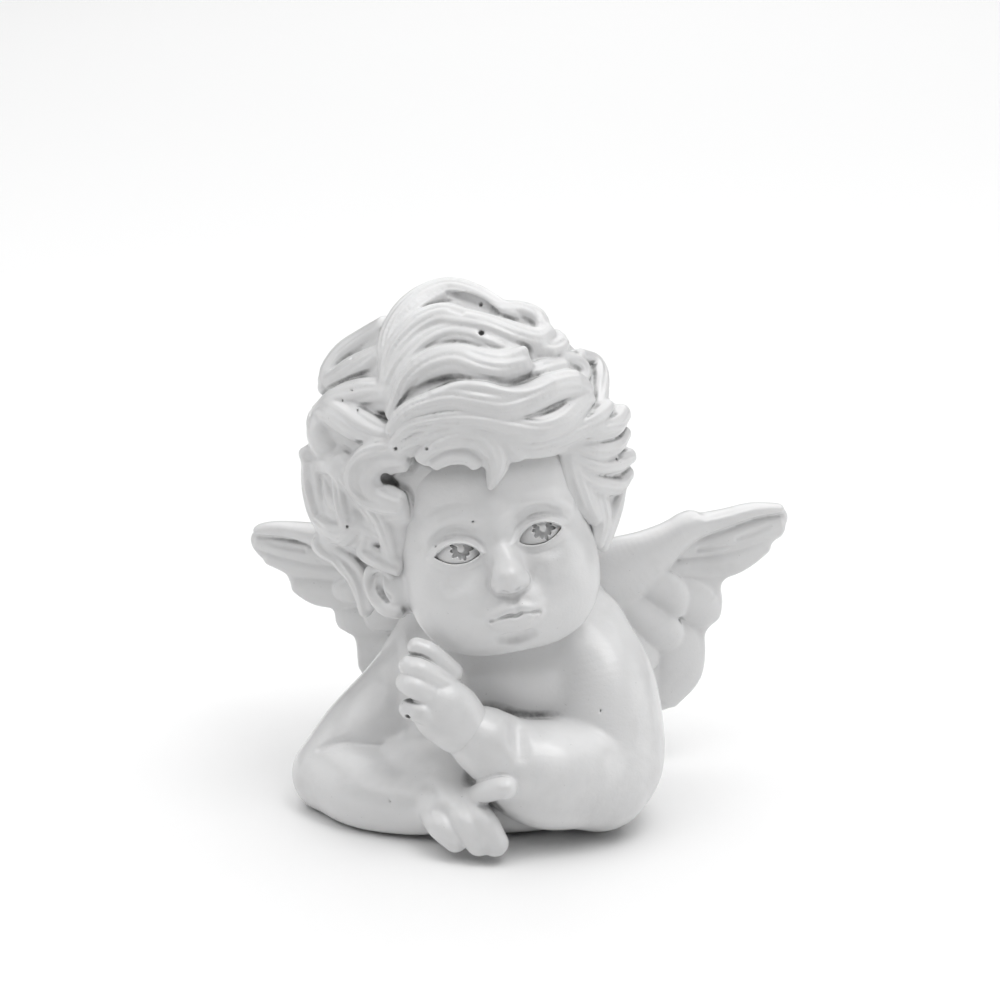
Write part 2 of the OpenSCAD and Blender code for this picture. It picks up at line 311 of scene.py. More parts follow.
def cast(clay, name, material, place=None, reach=1.0):
    """Turns clay into a piece of the figurine. place is (rotation, shift) from the clay's frame, and
    reach is about how deep the creases are that get darkened with grime and painted shade, in millimetres."""
    verts, faces = clay.skin()
    verts = relax(verts, faces, 2)
    normals = vertex_normals(verts, faces)
    # where the clay's block ends the skin tucks in under its neighbour's
    edge = np.minimum(verts[:, 1] - clay.low[1], clay.high[1] - verts[:, 1])
    tuck = np.clip(1 - edge / TUCK_WIDE, 0, 1)[:, None]
    cavity = clay.cavity(verts, normals, reach) * (1 - tuck[:, 0])
    verts = verts - TUCK_DEEP * tuck * normals
    cavity = relax(np.stack([cavity] * 3, 1), faces, 1, 0.6)[:, 0]
    if place is not None:
        verts = verts @ place[0].T + place[1]
        if np.linalg.det(place[0]) < 0:
            faces = faces[:, ::-1]
    mesh = bpy.data.meshes.new(name)
    mesh.vertices.add(len(verts))
    mesh.vertices.foreach_set("co", (verts * MM).astype(np.float32).ravel())
    mesh.loops.add(faces.size)
    mesh.loops.foreach_set("vertex_index", faces.astype(np.int32).ravel())
    mesh.polygons.add(len(faces))
    mesh.polygons.foreach_set("loop_start", np.arange(0, faces.size, 4, dtype=np.int32))
    mesh.polygons.foreach_set("use_smooth", np.ones(len(faces), bool))
    mesh.update(calc_edges=True)
    mesh.validate()
    # the crease value darkens the resin's colour: grime and painted shade in the creases
    crease = mesh.attributes.new("crease", "FLOAT", "POINT")
    crease.data.foreach_set("value", cavity.astype(np.float32))
    mesh.materials.append(material)
    piece = bpy.data.objects.new(name, mesh)
    bpy.context.scene.collection.objects.link(piece)
    print("cast %s: %d vertices, %d quads" % (name, len(verts), len(faces)))
    return piece


# ---- Bust: shoulders, chest, both arms and the resting hand ----

def bust_clay(low, high, cell):
    c = Clay(low, high, cell)
    c.egg((2, 3, 22), (25, 18, 27), soft=4)
    c.egg((2, 10, 26), (22, 13, 24), soft=4)
    c.egg((0, -3, 8), (29, 21, 11), (0, 0, 7), soft=4)
    c.egg((1.5, -3, 31), (17, 13, 13), soft=5)
    c.limb([(1.5, 1, 30, 14), (0.5, 0, 40, 12.5), (0, 1, 50, 11)], soft=6)
    # raised arm: upper arm, then the forearm with its rolls of baby fat
    c.limb([(16, 1, 34, 9.4), (20, -5, 26, 10.8), (21.4, -10, 15, 11.4), (20, -14, 11.5, 10.8)], soft=3.0)
    c.limb([(16.2, -17.4, 13.0, 10.3), (11, -19.8, 13.8, 10.4), (7, -21, 15.2, 9.5)], soft=1.2)
    c.limb([(4.0, -22.0, 17.8, 7.7), (-0.6, -23.4, 21.6, 6.6)], soft=0.9)
    c.limb([(-1.5, -23.8, 22.4, 5.8), (-4.2, -24.4, 24.2, 5.2)], soft=0.8)
    # resting arm
    c.limb([(-12, 7, 29, 9.4), (-20, 2, 20, 8.8), (-27, -3, 13, 8.8), (-33, -6, 6.6, 7.6)], soft=3.0)
    c.limb([(-32.4, -7, 6.8, 7.7), (-25, -13.5, 6.4, 7.7), (-17, -17.5, 6.2, 6.5), (-11, -20, 6.8, 5.6)],
           soft=1.2)
    resting_hand(c)
    for crease, lift, soft in CREASES:
        skin = [front(c, x, z) for x, z, r in crease]
        if min(skin) > c.low[1] + 0.6:
            c.limb([(x, y - lift, z, r) for (x, z, r), y in zip(crease, skin)], soft, "cut", step=0.8)
    for x, z, r in ((20.5, 26, 0.25), (20, 2.6, 0.22), (-19, 8.5, 0.2)):
        pit(c, x, z, r)
    c.merge((slice(None),) * 3, np.float32(0.5) - c.axes[2][None, None, :] + 0 * c.d, 0.6, "keep")
    return c


# folds of the skin on the side that faces the viewer: stations [x, z, radius], lift, softness
CREASES = [
    ([(5.4, 25.6, 1), (6, 23.6, 1.3), (6.4, 21.8, 0.7)], 0.95, 2),
    ([(-34.6, 13.6, 0.3), (-31, 15.2, 0.5), (-27, 15.7, 0.5), (-22.4, 15.1, 0.3)], 0.2, 0.9),
]


def resting_hand(c):
    c.egg((-6.8, -22.6, 8.2), (6.8, 6.2, 5.2), (-12, 0, -40), soft=2.0)
    fingers = [
        [(-11, -23.8, 7.6, 2.6), (-8.8, -27.8, 6.4, 2.8), (-5.8, -29.4, 4.2, 2.5)],
        [(-6.6, -24.8, 9.6, 2.6), (-3.9, -28.8, 7.6, 2.8), (-1.3, -30.4, 4.2, 2.6)],
        [(-3.6, -25.2, 10.2, 2.4), (-0.7, -29, 8, 2.7), (1.7, -30.4, 4.2, 2.6)],
    ]
    for finger in fingers:
        c.limb(finger, soft=0.5, step=0.8)
    c.limb([(-2.8, -25.2, 11, 2), (0, -28.4, 13.8, 2.2), (2.5, -30.2, 15.3, 2.2), (3.8, -30.9, 15.6, 2.1)],
           soft=0.6, step=0.8)


# ---- Raised hand ----

def raised_hand_clay():
    c = Clay((-22, -33, 17), (3, -15, 44), 0.24)
    c.egg((-7.6, -25.4, 28.0), (6.2, 4.9, 7.6), (0, -46, 10), soft=2)
    c.egg((-5.0, -24.8, 24.9), (5.2, 5.2, 4.4), (0, -46, 12), soft=1.5)
    fingers = [
        [(-7.2, -23.2, 35.2, 2.3), (-10.8, -24, 39.2, 2), (-13.4, -24, 40.4, 1.8)],
        [(-8.4, -25.2, 33.4, 2.6), (-12.2, -26.8, 36.8, 2.2), (-14.6, -25.8, 37.3, 2)],
        [(-9, -26.2, 31, 2.7), (-13, -28, 33.9, 2.3), (-15, -26.6, 34.3, 2.1)],
        [(-8.8, -27.2, 27, 2.4), (-11.8, -28.8, 29.3, 2.1), (-14.5, -27.8, 29.6, 1.9)],
    ]
    for finger in fingers:
        c.limb(finger, soft=0.35, step=0.6)
    pit(c, -14.5, 28.7, 0.5)
    return c


# ---- Head, in its own frame: face towards -Y and crown towards +Z ----

HEAD_TURN = turn_matrix((-16, -11.5, 8))
HEAD_AT = np.array([-3.0, 1.0, 67.0])
MIDLINE = 0.7
MOUTH_X = 0.3
SKULL = np.array([-2.0, 5.0, 4.0])
EYE_AT = {-1: (-7.8, -13.7), 1: (7.8, -13.1)}
EYE_WIDE, EYE_TALL, EYE_SLANT = 8.8, 4, 7.0
EYEBALL = 8.5
GAZE = (0.8, 1.1)


def off_skull(p):
    return unit((p - SKULL) * np.array([1.0, 1.05, 1.0]))


def front(c, x, z):
    """How far forward the clay stands at (x, z): the first y that is inside it, coming from -Y."""
    y = np.arange(c.low[1] + 0.5, 8, 0.1)
    d = c.sample(np.stack([np.full(len(y), x), y, np.full(len(y), z)], 1))
    i = int(np.argmax(d < 0))
    return float(y[i] - 0.1 * d[i] / min(d[i] - d[i - 1], -1e-6))


def on_skin(c, stations, lift, shift=0.0):
    """Limb stations for [x, z, radius] points on the skin that faces the viewer, lift behind it."""
    return [(x + shift, front(c, x + shift, z) + lift, z, r) for x, z, r in stations]


def pit(c, x, z, r):
    """A pinhole left by a bubble in the casting."""
    y = front(c, x, z)
    if c.low[1] + 0.6 < y < c.high[1] - 2:
        c.egg((x, y + 0.3, z), (r, 2.2 * r, r), soft=0.15, how="cut")


def eye_outline(x, z, side):
    """Signed distance in the face's plane to the almond between the lids."""
    a = math.radians(EYE_SLANT) * side
    u = (x - EYE_AT[side][0]) * math.cos(a) + (z - EYE_AT[side][1]) * math.sin(a)
    v = -(x - EYE_AT[side][0]) * math.sin(a) + (z - EYE_AT[side][1]) * math.cos(a)
    up, low = EYE_TALL * 0.58, EYE_TALL * 0.42
    out = []
    for h, sign in ((up, 1), (low, -1)):
        r = ((EYE_WIDE / 2) ** 2 + h * h) / (2 * h)
        out.append(np.sqrt(u * u + (v + sign * (r - h)) ** 2) - r)
    return np.maximum(out[0], out[1]), v


def open_eye(c, side):
    """Sockets the eye, raises both lids round the almond and hollows it out for the eyeball."""
    ex, ez = EYE_AT[side]
    y = front(c, ex, ez)
    c.egg((ex - side * 0.8, y - 1.9, ez + 0.8), (6.4, 2.9, 4.4), soft=2.6, how="cut")
    c.egg((ex, y + 4.2, ez), (5.8, 4.1, 4.0), soft=1.6)
    cut, gx, gy, gz = c.window((ex - 8, y - 5, ez - 7), (ex + 8, y + 6, ez + 8))
    skin = c.d[cut].copy()
    almond, v = eye_outline(gx, gz, side)
    rim = np.sqrt(almond ** 2 + (skin - 0.05) ** 2) - np.where(v > 0, 0.5, 0.25)
    c.merge(cut, rim, 0.5)
    fold = np.sqrt((almond - 1.45) ** 2 + (skin - 0.1) ** 2) - 0.32 * np.clip(v / 1.2, 0, 1)
    c.merge(cut, fold, 0.5, "cut")
    brow = ((-3.4, 3.6, 0.3), (-0.6, 5, 0.55), (2.4, 4.6, 0.5), (4.6, 3.2, 0.2))
    c.limb(on_skin(c, [(ex + side * u, ez + w, r) for u, w, r in brow], -0.25), 0.8, "cut")
    c.merge(cut, np.maximum(almond + 0.1, skin - 6) + 0 * gy, 0.15, "cut")
    return y


def face_clay():
    c = Clay((-29, -30, -38), (27, 9, 22), 0.27)
    m = MIDLINE
    c.egg((-1, 5, 3), (24, 23, 23), soft=3)
    c.egg((m, -6.4, 0), (19, 14.5, 16), soft=4)
    c.egg((m - 0.9, -5, -14), (18.2, 15, 17.5), soft=4)
    c.egg((-9.5, 0, -9), (12.4, 14.0, 15), soft=4)
    c.egg((-9.0, -9.3, -21.2), (9.6, 8.8, 9.2), soft=4)
    c.egg((8.4, -9.4, -21.3), (8.9, 8.8, 8.8), soft=4)
    c.egg((m - 0.6, -11.6, -27.4), (11.0, 6.6, 6.4), soft=4)
    c.egg((6.8, -9.4, -25.2), (8.0, 7.6, 7.2), soft=4)
    c.egg((-7.4, -9.4, -25.4), (8.2, 7.6, 7.0), soft=4)
    # hollows beside the nose and below the inner corners of the eyes
    c.limb([(-3.6, front(c, -3.6, -16.2) - 0.7, -16.2, 1.1), (-6.8, front(c, -6.8, -18) - 0.7, -18, 1),
            (-10, front(c, -10, -19.2) - 0.8, -19.2, 0.7)], 2.6, "cut")
    for s in (-1, 1):
        fold = [(m + s * u, z, r) for u, z, r in ((4, -17, 1.3), (4.6, -20.5, 1.3), (5.2, -24, 0.9))]
        c.limb(on_skin(c, fold, -0.9), 2.6, "cut")
        brow = ((3.8, -8.8, 0.8), (6.5, -7.2, 1.2), (10, -7.2, 1.2), (13, -9, 0.8))
        c.limb(on_skin(c, [(m + s * u, z, r) for u, z, r in brow], 0.8), 2.2)
    # muzzle, lips and chin
    y = front(c, m, -26.5)
    c.egg((m, y + 2.5, -25.6), (6.6, 4.0, 4.2), soft=3)
    c.limb(on_skin(c, [(m, -24, 0.6), (m, -25.6, 0.6)], -0.4), 0.8, "cut")
    upper = [(-4.6, -26.7, 0.3), (-2.8, -25.9, 0.5), (-1, -25.3, 0.6), (0, -25.5, 0.55),
             (1, -25.3, 0.6), (2.8, -25.9, 0.5), (4.6, -26.7, 0.3)]
    c.limb(on_skin(c, upper, 0.2, MOUTH_X), 1.4, step=0.6)
    lower = [(-3.8, -27.4, 0.6), (-2, -27.9, 1.2), (0, -28.1, 1.4), (2, -27.9, 1.2), (3.8, -27.4, 0.6)]
    c.limb(on_skin(c, lower, 0.6, MOUTH_X), 1.2, step=0.6)
    under = [(-3, -30.9, 1.1), (-0.3, -31.3, 1.8), (2.4, -30.9, 1.1)]
    c.limb(on_skin(c, under, -0.35), 1, "cut")
    mouth = [(-4.5, -26.8, 0.5), (-3.6, -26.7, 0.25), (-1.2, -26.4, 0.36), (0.2, -26.7, 0.34),
             (1.2, -26.4, 0.34), (2.2, -26.5, 0.16), (3.2, -26.7, 0.36), (4.5, -26.8, 0.5)]
    c.limb(on_skin(c, mouth, 0.1, MOUTH_X), 0.15, "cut", step=0.4)
    eyes = [open_eye(c, s) for s in (-1, 1)]
    # nose: low bridge, round upturned tip
    y = front(c, m, -19.8)
    between = min(front(c, -2.6, -12.5), front(c, 3.4, -12.5))
    c.limb([(0.3, front(c, 0.3, -7.5) + 1.2, -7.5, 1.6), (0.4, between + 1.5, -11, 2.1),
            (0.5, between + 0.9, -14.2, 2.1),
            (m, y - 0.2, -17.4, 2.1), (m, y - 0.8, -18.8, 2.2)], 2.6)
    c.egg((m, y - 1.3, -19.5), (2.8, 2.9, 2.6), (12, 0, 0), soft=1.6)
    for s in (-1, 1):
        c.egg((m + s * 2.3, y - 0.2, -20.4), (1.3, 1.6, 1.3), soft=1.0)
        c.egg((m + s * 1.3, y - 2.0, -21.9), (0.5, 0.6, 0.4), soft=0.4, how="cut")
    ear(c)
    for hollow in HOLLOWS:
        c.limb(hollow, 0.5, "cut")
    for x, z, r in ((-3.7, -8, 0.22), (-11.4, -11.2, 0.2), (19.1, -14.3, 0.35)):
        pit(c, x, z, r)
    return c, eyes


def ear(c):
    """The ear that shows below the curls: bowl, rim and lobe."""
    for centre, radii in (((-20.6, -5, -17.8), (3.6, 4.6, 6)), ((-23, -4.8, -17.6), (2.6, 3.4, 5))):
        c.egg(centre, radii, (0, 12, 0), soft=2.0)
    rim = [(-21, -8.6, -15, 0.9), (-22.2, -8.2, -13.5, 1), (-24.2, -7, -13.1, 1.1), (-25.6, -5.8, -14.6, 1.1),
           (-25.8, -5.6, -17, 1.1), (-25, -6.4, -19.6, 1.2), (-23.4, -7.4, -21.4, 1.4), (-21.6, -8, -22, 1.4)]
    c.limb(rim, 0.6)
    c.limb([(-23.7, -8.4, -15.1, 0.8), (-23.9, -8, -17.1, 1.1), (-22.8, -8.8, -19.2, 1)], 0.5, "cut")
    c.limb([(-22.4, -8.3, -15.4, 0.5), (-22.6, -8.1, -17.6, 0.6), (-22.2, -8.4, -19.4, 0.5)], 0.4)


def eyeball_clay(y, side):
    """A smooth ball, clear of the lower lid, with the iris cut as a fan of strokes under a plain pupil."""
    ex, ez = EYE_AT[side]
    mid = np.array([ex, y + 0.5 + EYEBALL, ez])
    c = Clay((ex - 5.4, y - 0.5, ez - 3.6), (ex + 5.4, y + 5, ez + 4.2), 0.13)
    cut, x, yy, z = c.window(c.low, c.high + 0.5)
    ball = np.sqrt((x - mid[0]) ** 2 + (yy - mid[1]) ** 2 + (z - mid[2]) ** 2) - EYEBALL
    c.merge(cut, ball, 0)
    almond, v = eye_outline(x, z, side)
    c.merge(cut, almond + np.where(v < 0, 0.2, -0.3) + 0 * yy, 0.2, "keep")
    u, v = x - ex - GAZE[0] + 0 * yy, z - ez - GAZE[1] + 0 * yy
    far, turn = np.sqrt(u * u + v * v), np.arctan2(u, -v)
    spoke = np.abs(np.sin(turn * 5.5 + 0.4 + 0.35 * np.sin(3 * turn)))
    ring = np.maximum(0.7 - far, far - 1.5 - (0.65 + 0.25 * np.sin(5 * turn + 1)) * spoke ** 1.1)
    ring = np.maximum(ring, (np.abs(turn) - math.radians(130)) * far)
    dent = np.maximum(ring, -(ball + 1.1))
    c.merge(cut, dent, 0.1, "cut")
    return c


# Locks of hair: name, strands, then stations [x, y, z, half width, half height] from the parting outwards.
LOCKS = [
    ("q_top", 5, [(-13.6, -16.7, 23.2, 1.6, 1.4), (-12, -14.6, 27.5, 2.8, 2.2), (-8.3, -12, 31.7, 3.6, 2.8),
     (-3.6, -9.3, 34.3, 3.8, 3), (1.1, -8.6, 34.6, 3.6, 2.8), (5.3, -11.4, 32.6, 3, 2.2),
     (8.4, -13.9, 30, 2.4, 1.9), (11.2, -14.6, 27.9, 1.8, 1.5)]),
    ("q_under", 4, [(-14, -18, 20.5, 1.8, 1.3), (-11.2, -16.7, 25.6, 2.8, 2.1), (-6.8, -16, 29, 3.2, 2.5),
     (-2, -16.2, 29.9, 3.4, 2.6), (2.2, -17.7, 28.1, 3.2, 2.5), (6.4, -18.3, 26.2, 3, 2.4),
     (10.5, -18.1, 24, 2.9, 2.3), (14.3, -16.9, 22.4, 2.5, 2.1), (16.7, -14.4, 23.2, 2, 1.7)]),
    ("q_mid", 3, [(-14.2, -18.6, 17.7, 1.7, 1.3), (-10.8, -18.5, 22.7, 2.6, 1.9), (-6, -18.5, 25.7, 2.7, 2.1),
     (-1.3, -18.7, 26.5, 2.6, 2.1), (3, -19.3, 25.2, 2.5, 2.1), (6.7, -19.8, 23.1, 2.4, 1.9),
     (9.9, -19.6, 21.1, 1.9, 1.5)]),
    ("q_wave", 4, [(-14.2, -20.1, 14.5, 1.3, 1.2), (-10.5, -20.8, 19.4, 2.4, 2),
     (-5.9, -21.5, 21.4, 3.2, 2.6), (-0.9, -22.1, 21.3, 3.5, 2.9), (3.1, -22.6, 19.2, 3.4, 3.1),
     (6.8, -22.3, 18.1, 3.2, 3.1), (10.4, -21.2, 18.2, 2.7, 2.6)]),
    ("q_wave_lip", 1, [(-7.9, -21.9, 22.5, 0.7, 0.8), (-4.1, -22.3, 23.4, 1.1, 1.2),
     (0.3, -22.9, 22.9, 1.2, 1.3), (4.5, -23.1, 21.3, 1.2, 1.3), (8.3, -22.7, 20.2, 1.3, 1.4),
     (11.6, -21.4, 20.5, 1.1, 1.2)]),
    ("q_low", 4, [(-14.3, -20, 11.4, 1.2, 1.2), (-11.2, -21.4, 13.4, 1.9, 1.8), (-6.9, -22.7, 14.2, 2.3, 2.1),
     (-2.4, -23.4, 14.3, 2.6, 2.5), (1.8, -23.6, 13, 2.8, 2.6), (6, -23.1, 11.5, 3.3, 2.6),
     (10.1, -22, 11.4, 3.1, 2.5), (14.4, -20, 12.4, 3, 2.4), (18.6, -16.9, 12.7, 2.8, 2.3),
     (20.7, -15.1, 11.2, 1.6, 1.6)]),
    ("q_low_lip", 1, [(-5.7, -24.1, 15.6, 0.7, 0.8), (-1.1, -24.6, 16, 1.1, 1.2),
     (3.2, -24.6, 14.9, 1.2, 1.3), (6.9, -24.2, 13.2, 1.1, 1.2), (11.3, -22.9, 12.7, 0.9, 1),
     (15.1, -21, 13.4, 0.9, 1)]),
    ("q_brow", 4, [(-14.1, -19.8, 8.8, 1.2, 1.2), (-10.9, -21.5, 10.9, 1.7, 1.6), (-6.6, -22.7, 11.3, 2, 1.9),
     (-2.2, -23.4, 10.7, 2.2, 2), (1.9, -23.4, 9.2, 2.2, 2.1), (6.1, -22.6, 7.3, 2.8, 2.2),
     (10.3, -21.2, 6.1, 2.8, 2.3), (14.6, -19.3, 6.6, 2.8, 2.3), (18.2, -16.9, 8.4, 2.6, 2.1),
     (20.7, -15.4, 9.3, 1.5, 1.5)]),
    ("q_edge", 3, [(-13.7, -19.5, 7.4, 1.1, 1), (-10.7, -21.1, 8.7, 1.6, 1.4), (-6.6, -22.4, 9.4, 1.9, 1.6),
     (-2.2, -23.1, 9, 1.9, 1.7), (1.6, -22.9, 7.3, 1.8, 1.6), (4.7, -22.2, 5, 1.5, 1.3),
     (6.7, -21, 2, 0.8, 0.8)]),
    ("q_rim", 3, [(5.2, -22.3, 5.2, 1.1, 1), (9, -21, 4, 1.6, 1.5), (13.5, -19, 3.8, 1.9, 1.8),
     (17.9, -16.7, 4.6, 1.9, 1.9), (21.7, -14.9, 6, 1.8, 1.8), (24.1, -12.8, 7.4, 1.3, 1.3)]),
    ("hook", 3, [(-10.3, -20.9, 5.3, 1.1, 0.9), (-7.1, -22.2, 7.1, 1.6, 1.4), (-3.4, -22.9, 7.5, 1.9, 1.6),
     (-0.1, -23, 6.8, 2, 1.7), (2, -22.6, 4.8, 2, 1.7), (2.8, -21.8, 2.1, 1.7, 1.5), (2, -21, -0.2, 1.1, 1.1),
     (0.7, -20.2, -2.2, 0.5, 0.6)]),
    ("hook_in", 1, [(-8.3, -21, 3.7, 0.8, 0.6), (-5.4, -21.9, 4.7, 1.1, 0.8), (-2.3, -22.2, 4.1, 1.1, 0.8),
     (-0.8, -21.8, 2.2, 0.9, 0.7)]),
    ("r_crest", 3, [(8.8, -14.9, 29.1, 1.9, 1.6), (12.5, -13.4, 28.3, 2.3, 2), (15.4, -12.7, 26.4, 2.2, 2),
     (16.4, -14.3, 23.4, 1.5, 1.5)]),
    ("r_knot", 2, [(13.9, -17.8, 21, 1.4, 1.3), (16.5, -16.5, 19.8, 1.9, 1.7), (18.9, -13.5, 20.8, 1.8, 1.6),
     (18.5, -12.8, 22.6, 1.1, 1.1)]),
    ("r_oval", 2, [(11.2, -20.5, 16.4, 1.3, 1.1), (14.4, -18.9, 16.6, 2.1, 1.8),
     (18.1, -16.2, 16.4, 1.7, 1.5)]),
    ("r_inner", 2, [(18.9, -14.9, 18.2, 1.3, 1.2), (21.5, -12.2, 16.8, 1.6, 1.5), (22.1, -12, 14.4, 1.5, 1.5),
     (20.2, -14.8, 12.4, 1.1, 1.1)]),
    ("r_outer", 2, [(22.3, -10, 18.1, 1.3, 1.2), (24.8, -5.7, 16.1, 1.8, 1.7), (24.9, -10.1, 12.5, 1.9, 1.8),
     (23.9, -12.9, 8.9, 1.6, 1.5), (22.1, -14.7, 7, 1, 1)]),
    ("r_loop", 4, [(17.1, -17.3, 3.4, 1.3, 1.2), (21.3, -15.6, 3.4, 1.9, 1.8), (25.3, -12.3, 4, 2.3, 2.2),
     (27.5, -8.7, 5.7, 2, 1.9)]),
    ("r_side1", 3, [(16.9, -16.7, 2, 1.3, 1.1), (21.1, -14.3, 0.2, 1.9, 1.7), (25, -10.5, 0.3, 1.9, 1.8),
     (27.4, -6.5, 2, 1.4, 1.4)]),
    ("r_side2", 3, [(16.7, -16, 0.1, 1.3, 1.1), (20.2, -13.5, -2.3, 1.9, 1.7), (24.4, -8.3, -3.2, 2.1, 1.9),
     (27.6, -2.8, -2.5, 1.6, 1.5)]),
    ("r_side3", 3, [(16.6, -15.3, -1.8, 1.3, 1.1), (19.2, -12, -5, 2, 1.8), (23.7, -6, -7.1, 2.1, 1.9),
     (26.5, -1.9, -5.7, 1.6, 1.5)]),
    ("r_temple", 3, [(16.5, -16.6, 1.8, 1, 0.8), (17, -14.6, -3.6, 1.7, 1), (18, -11.8, -8.4, 1.8, 1.1),
     (19.2, -9.6, -12.6, 1.2, 0.8)]),
    ("r_hang1", 3, [(19.6, -9.6, -5.6, 1.4, 1.2), (20.4, -8, -10, 2.1, 1.4), (20.2, -7.2, -14, 1.8, 1.2),
     (18.6, -7.4, -17.6, 0.9, 0.8)]),
    ("r_hang2", 2, [(24.9, -2.7, -6.8, 1.8, 1.6), (22.9, -2.5, -11.2, 2, 1.8), (20.9, -4, -15, 1.8, 1.6),
     (19.3, -5, -18.2, 1.1, 1.1)]),
    ("l_crown", 4, [(-12.8, -8.8, 30.9, 2.4, 2), (-17.1, -4.3, 29.4, 3, 2.4), (-21.5, -1.2, 27.7, 3.2, 2.6),
     (-24.7, -0.8, 25, 2.8, 2.4), (-26.2, -1.3, 22.4, 2, 1.8)]),
    ("l_crown2", 4, [(-13.6, -14.3, 26.2, 2, 1.7), (-16.6, -12.4, 25.1, 2.6, 2.2),
     (-20.7, -8.2, 24.4, 2.6, 2.2), (-24.8, -3.2, 23.4, 1.8, 1.7)]),
    ("l_up", 3, [(-14.2, -18.1, 18.5, 2, 1.5), (-17.9, -14.8, 19.6, 2.6, 2), (-21.3, -11.7, 19.7, 2.8, 2.2),
     (-25, -8.9, 19.2, 2.6, 2.1), (-28, -5.1, 17.8, 2.1, 1.7)]),
    ("l_big", 3, [(-14.7, -19, 10.3, 2, 1.6), (-17.6, -16.9, 11.6, 2.9, 2.2), (-20.6, -14.7, 13.7, 3.4, 2.5),
     (-23.6, -12.1, 16, 3.2, 2.5), (-26.1, -8.7, 17.7, 2.7, 2.2), (-28.6, -3.9, 17.4, 2.1, 1.8)]),
    ("l_hook", 2, [(-26.5, -7.1, 18.8, 1.7, 1.3), (-29.3, -1.3, 17.4, 2.1, 1.7),
     (-29.9, -1.9, 14.9, 2.2, 1.8), (-29.3, -6.5, 12.3, 2.1, 1.7), (-31.1, -1.3, 11.2, 1.8, 1.4),
     (-33, -1.4, 10.9, 1.4, 1)]),
    ("l_tip", 2, [(-33.1, -1.7, 10.6, 1.4, 1), (-31.1, -1.4, 8.9, 1.9, 1.4), (-27.8, -9.7, 7.5, 2.1, 1.5),
     (-26.1, -11.4, 5.1, 1.8, 1.3)]),
    ("l_out", 3, [(-32.8, -1.7, 9.4, 1.7, 1.2), (-33.4, -0.2, 5, 2.1, 1.6), (-33.5, -0.2, 1.3, 2.2, 1.7),
     (-32.9, -0.1, -2.3, 2.2, 1.7), (-30.1, -5.8, -4.6, 2.1, 1.6), (-26.8, -9, -5, 1.8, 1.4),
     (-24.4, -10.7, -3.8, 1.3, 1)]),
    ("l_mid", 2, [(-26.9, -10.8, 6.8, 1.6, 1.1), (-27.2, -9.8, 3.5, 1.9, 1.3), (-27.6, -9.5, 0.2, 1.9, 1.4),
     (-27.5, -9, -3.5, 1.6, 1.2)]),
    ("l_diag", 3, [(-26.7, -11, 7.8, 1.6, 1.1), (-24.8, -12.3, 3.4, 2.1, 1.5), (-22.7, -12.5, -0.7, 2.4, 1.6),
     (-20.8, -12.8, -4.4, 2.4, 1.6), (-20.3, -11.6, -8.3, 2.1, 1.4), (-20.4, -9.8, -12, 1.4, 1)]),
    ("l_ring", 3, [(-13.5, -19.5, 8, 1.1, 1.2), (-16.7, -17.5, 8.5, 1.7, 1.7), (-19.8, -15.7, 7.8, 2, 2),
     (-22.3, -14.4, 5.5, 2.1, 2.1), (-22.9, -13.5, 2.7, 1.9, 1.9), (-21.3, -13.6, 0.1, 1.6, 1.7),
     (-18.7, -15.1, -1.7, 1.3, 1.5), (-16.5, -16.2, -2.7, 0.8, 1.1)]),
    ("l_ring_in", 1, [(-13.6, -19.1, 5.8, 1.5, 1.2), (-16.8, -17, 6.5, 1.9, 1.5), (-19.2, -15.8, 5.5, 2, 1.6),
     (-20.6, -15, 3.3, 1.9, 1.6), (-19.9, -14.6, 0.9, 1.8, 1.5), (-17.8, -15.8, -1, 1.7, 1.4),
     (-16, -16.6, -1.8, 1.4, 1.2)]),
    ("l_ring_low", 2, [(-24.2, -12.9, 4, 1.5, 1), (-23.3, -12.7, 0.7, 1.8, 1.2),
     (-21.3, -13.1, -2.2, 1.8, 1.2), (-18.4, -14.8, -3.8, 1.6, 1), (-16.1, -16, -4.2, 1.1, 0.7)]),
    ("l_d", 3, [(-24.5, -10.4, -4.5, 1.6, 1.2), (-28.6, -6.8, -6, 2.1, 1.6), (-32.4, -0.1, -5.2, 2.2, 1.7),
     (-33.9, -0.2, -7, 2.1, 1.7), (-32.2, -0.3, -9.1, 2, 1.5), (-29.5, -0.2, -10.6, 1.6, 1.2)]),
    ("l_e", 2, [(-22.1, -11.9, -4, 1.6, 1.1), (-24, -9.6, -6.8, 1.9, 1.3), (-25.6, -6.6, -9.6, 2, 1.4),
     (-23.3, -8.8, -12.1, 1.7, 1.2), (-19.8, -9.9, -14.5, 1.3, 0.9)]),
    ("l_f", 3, [(-32, -0.3, -7.4, 1.8, 1.3), (-30.7, 0, -10.7, 2.3, 1.7), (-28.8, -0.8, -13.7, 2.4, 1.8),
     (-27.9, -0.8, -17.3, 2.2, 1.7), (-27.9, -0.9, -21.1, 1.7, 1.3)]),
]

# The hair behind the ears: tiers of S-shaped locks that fan down from the crown to the nape.
SHELL_AT, SHELL = np.array([-3.0, 6.0, 3.0]), np.array([26.6, 25.0, 26.8])
CROWN = (-6, 22)
# number of locks, first and last bearing, polar start and end, half width, half height, wave
TIERS = [
    (11, -78, 214, 12, 66, 5.2, 2.3, 7),
    (14, -42, 216, 46, 100, 4.6, 2.6, 8),
    (14, -30, 214, 80, 126, 4, 2.5, 9),
    (10, -6, 190, 106, 146, 3.2, 2.1, 9),
]


